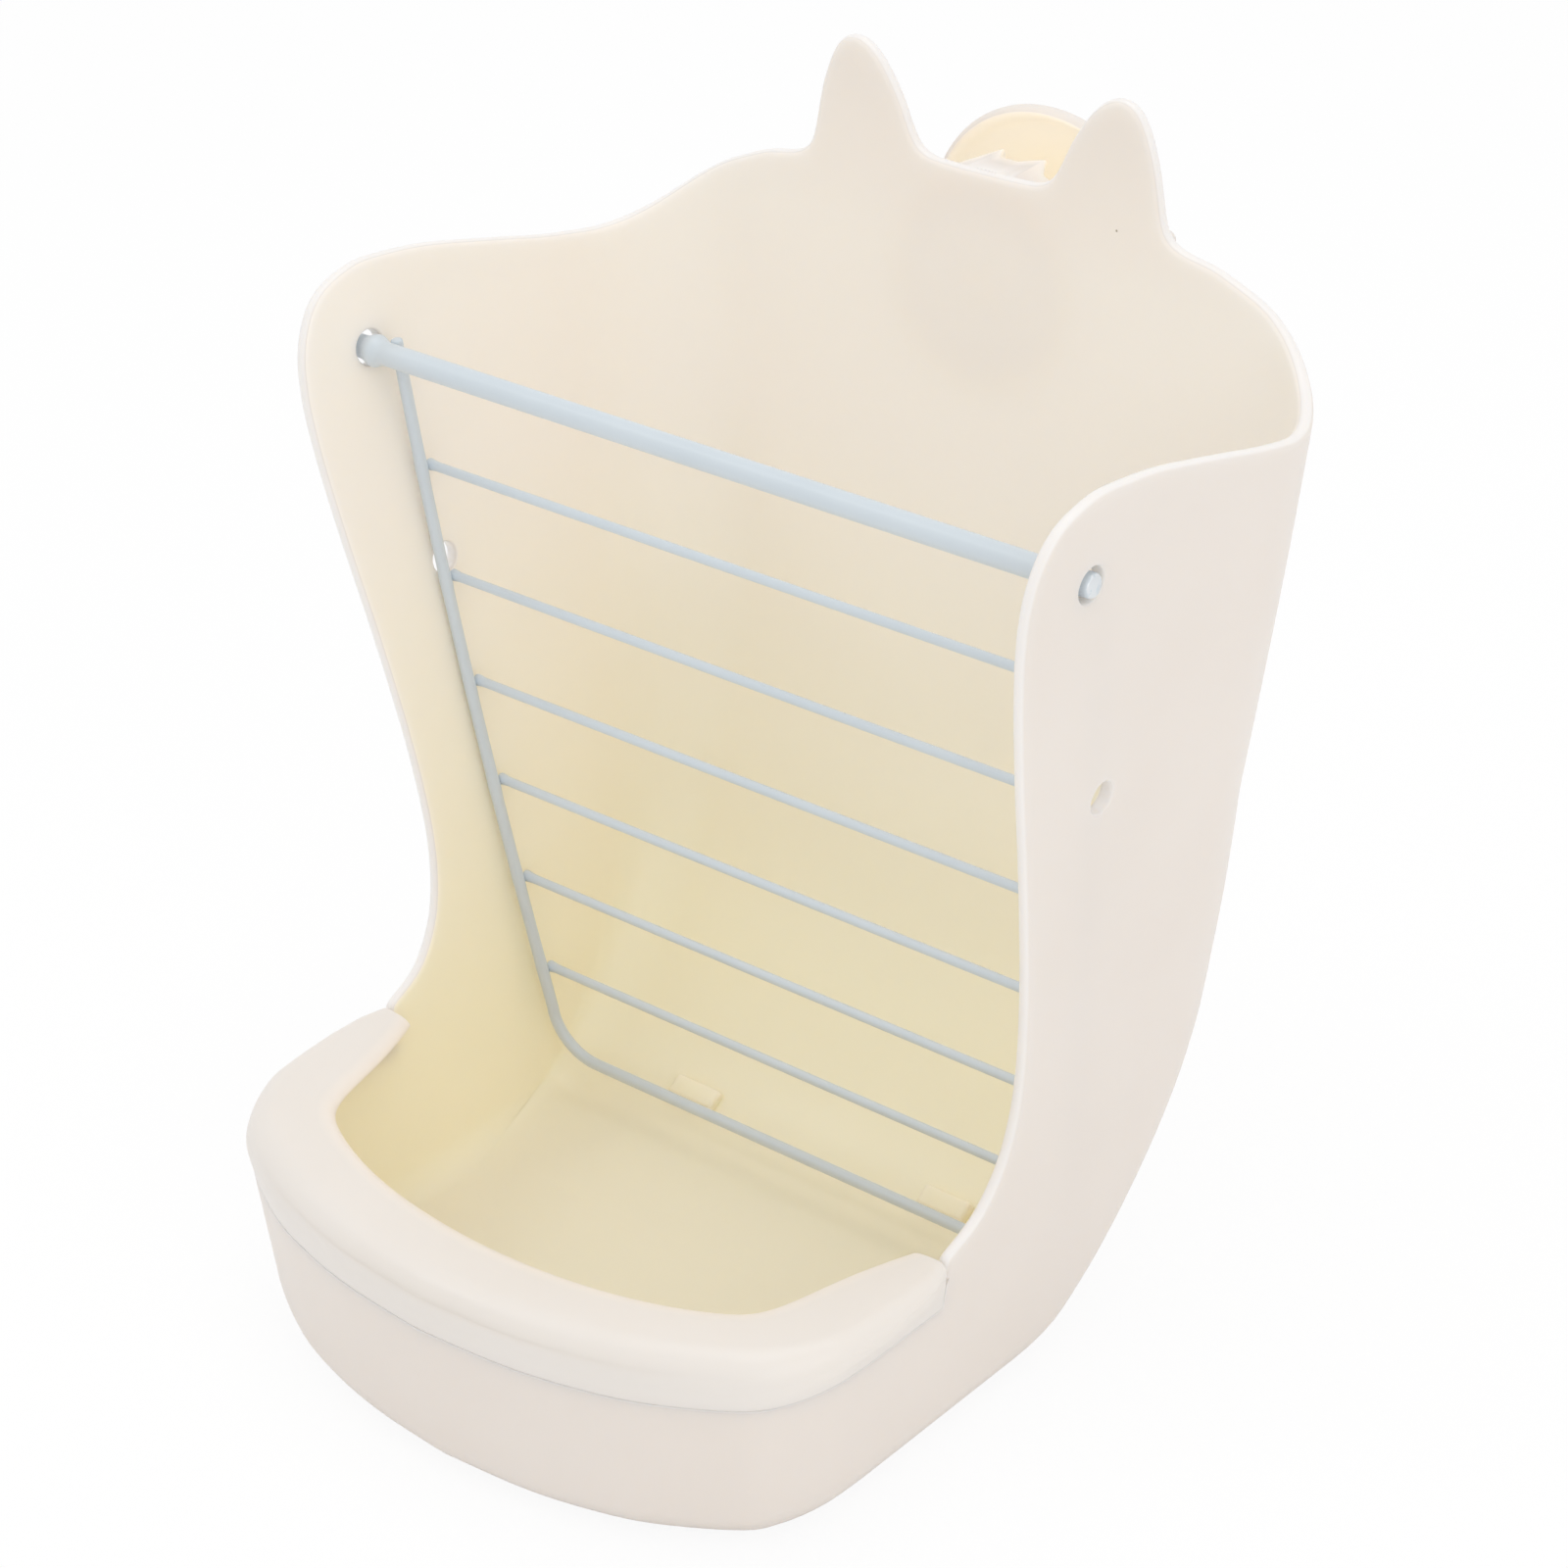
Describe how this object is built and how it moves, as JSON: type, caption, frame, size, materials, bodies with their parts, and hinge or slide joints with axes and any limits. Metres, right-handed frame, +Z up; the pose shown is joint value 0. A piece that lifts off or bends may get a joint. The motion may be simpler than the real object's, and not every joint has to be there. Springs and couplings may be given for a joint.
{
  "type": "hay feeder box",
  "caption": "Clamp-on hay feeder for small pets: open-topped plastic box with a food bowl in front, a swinging wire grille and a dished nut behind.",
  "frame": {"origin": "on the clamp's axis, at the tips of the toothed ring's teeth, where a cage's wires are held", "axes": "+X to the right seen from the bowl, +Y backward along the clamp's axis into the cage wall, +Z up"},
  "size_m": [0.1838, 0.2136, 0.233],
  "materials": {
    "ivory_plastic": "satin injection-moulded plastic, warm ivory, slightly translucent",
    "pale_blue_coating": "steel wire with a smooth pale blue-grey coating"
  },
  "bodies": {
    "box": {"feeder_shell": "ivory_plastic", "bowl_rim_guard": "ivory_plastic"},
    "grille": {"grille_rod": "pale_blue_coating", "grille_frame": "pale_blue_coating", "cross_wire_1": "pale_blue_coating", "cross_wire_2": "pale_blue_coating", "cross_wire_3": "pale_blue_coating", "cross_wire_4": "pale_blue_coating", "cross_wire_5": "pale_blue_coating", "cross_wire_6": "pale_blue_coating"},
    "nut": {"clamp_nut": "ivory_plastic"}
  },
  "joints": [
    {"name": "grille_swing", "type": "hinge", "parent": "box", "child": "grille", "pos_m": [0, -0.09929, -0.0062], "axis": [-1, 0, 0], "range_deg": [-3, 15]},
    {"name": "nut_travel", "type": "slide", "parent": "box", "child": "nut", "axis": [0, 1, 0], "range_m": [-0.0115, 0.005]}
  ]
}
